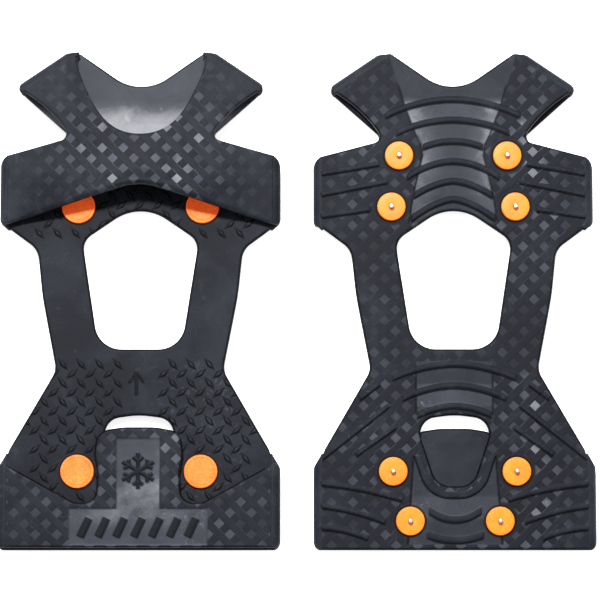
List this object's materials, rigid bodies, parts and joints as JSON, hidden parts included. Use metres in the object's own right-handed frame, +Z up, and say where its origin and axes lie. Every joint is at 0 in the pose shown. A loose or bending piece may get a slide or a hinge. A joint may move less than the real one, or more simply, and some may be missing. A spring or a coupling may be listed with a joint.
{
  "type": "shoe ice cleats",
  "caption": "Pair of slip-on rubber ice cleats with studded soles, an arched toe harness and a heel band with a pull tab, one foot side up and one turned over.",
  "frame": {"origin": "on the floor, midway between the two cleats and midway between toe and heel", "axes": "+Y from heel to toe of both cleats, +X from the left cleat to the right one, +Z up"},
  "size_m": [0.29, 0.244, 0.0226],
  "materials": {
    "rubber": "satin moulded rubber with a woven relief on the outside",
    "stud_orange": "satin moulded plastic",
    "cap_orange": "matt moulded plastic with a fine grain",
    "stud_steel": "dull carbon steel"
  },
  "bodies": {
    "left_sole": {"left_stud_1_cap": "cap_orange", "left_stud_1_disc": "stud_orange", "left_stud_1_pin": "stud_steel", "left_stud_2_cap": "cap_orange", "left_stud_2_disc": "stud_orange", "left_stud_2_pin": "stud_steel", "left_stud_3_cap": "cap_orange", "left_stud_3_disc": "stud_orange", "left_stud_3_pin": "stud_steel", "left_stud_4_cap": "cap_orange", "left_stud_4_disc": "stud_orange", "left_stud_4_pin": "stud_steel", "left_stud_5_cap": "cap_orange", "left_stud_5_disc": "stud_orange", "left_stud_5_pin": "stud_steel", "left_stud_6_cap": "cap_orange", "left_stud_6_disc": "stud_orange", "left_stud_6_pin": "stud_steel", "left_stud_7_cap": "cap_orange", "left_stud_7_disc": "stud_orange", "left_stud_7_pin": "stud_steel", "left_stud_8_cap": "cap_orange", "left_stud_8_disc": "stud_orange", "left_stud_8_pin": "stud_steel", "left_sole": "rubber"},
    "left_toe_harness": {"left_toe_harness": "rubber"},
    "left_heel_band": {"left_heel_band": "rubber"},
    "left_pull_tab": {"left_pull_tab": "rubber"},
    "right_sole": {"right_stud_1_cap": "cap_orange", "right_stud_1_disc": "stud_orange", "right_stud_1_pin": "stud_steel", "right_stud_2_cap": "cap_orange", "right_stud_2_disc": "stud_orange", "right_stud_2_pin": "stud_steel", "right_stud_3_cap": "cap_orange", "right_stud_3_disc": "stud_orange", "right_stud_3_pin": "stud_steel", "right_stud_4_cap": "cap_orange", "right_stud_4_disc": "stud_orange", "right_stud_4_pin": "stud_steel", "right_stud_5_cap": "cap_orange", "right_stud_5_disc": "stud_orange", "right_stud_5_pin": "stud_steel", "right_stud_6_cap": "cap_orange", "right_stud_6_disc": "stud_orange", "right_stud_6_pin": "stud_steel", "right_stud_7_cap": "cap_orange", "right_stud_7_disc": "stud_orange", "right_stud_7_pin": "stud_steel", "right_stud_8_cap": "cap_orange", "right_stud_8_disc": "stud_orange", "right_stud_8_pin": "stud_steel", "right_sole": "rubber"},
    "right_toe_harness": {"right_toe_harness": "rubber"},
    "right_heel_band": {"right_heel_band": "rubber"},
    "right_pull_tab": {"right_pull_tab": "rubber"}
  },
  "joints": [
    {"name": "left_toe_harness_lift", "type": "hinge", "parent": "left_sole", "child": "left_toe_harness", "pos_m": [-0.0765, 0.122, 0.00805], "axis": [-1, 0, 0], "range_deg": [0, 35], "stiffness_Nm_per_rad": 0.06, "springref_deg": -34.38},
    {"name": "left_heel_band_fold", "type": "hinge", "parent": "left_sole", "child": "left_heel_band", "pos_m": [-0.0765, -0.122, 0.00805], "axis": [1, 0, 0], "range_deg": [0, 90], "stiffness_Nm_per_rad": 0.03, "springref_deg": -34.38},
    {"name": "left_pull_tab_bend", "type": "hinge", "parent": "left_heel_band", "child": "left_pull_tab", "pos_m": [-0.0765, -0.093, 0.012], "axis": [1, 0, 0], "range_deg": [0, 75], "stiffness_Nm_per_rad": 0.01, "springref_deg": -28.65},
    {"name": "right_toe_harness_lift", "type": "hinge", "parent": "right_sole", "child": "right_toe_harness", "pos_m": [0.0765, 0.122, 0.00395], "axis": [1, 0, 0], "range_deg": [0, 35], "stiffness_Nm_per_rad": 0.06, "springref_deg": -34.38},
    {"name": "right_heel_band_fold", "type": "hinge", "parent": "right_sole", "child": "right_heel_band", "pos_m": [0.0765, -0.122, 0.00395], "axis": [-1, 0, 0], "range_deg": [0, 90], "stiffness_Nm_per_rad": 0.03, "springref_deg": -34.38},
    {"name": "right_pull_tab_bend", "type": "hinge", "parent": "right_heel_band", "child": "right_pull_tab", "pos_m": [0.0765, -0.093, 0], "axis": [-1, 0, 0], "range_deg": [0, 75], "stiffness_Nm_per_rad": 0.01, "springref_deg": -28.65},
    {"name": "right_cleat_lift", "type": "slide", "parent": "left_sole", "child": "right_sole", "axis": [0, 0, 1], "range_m": [0, 0.15]}
  ]
}
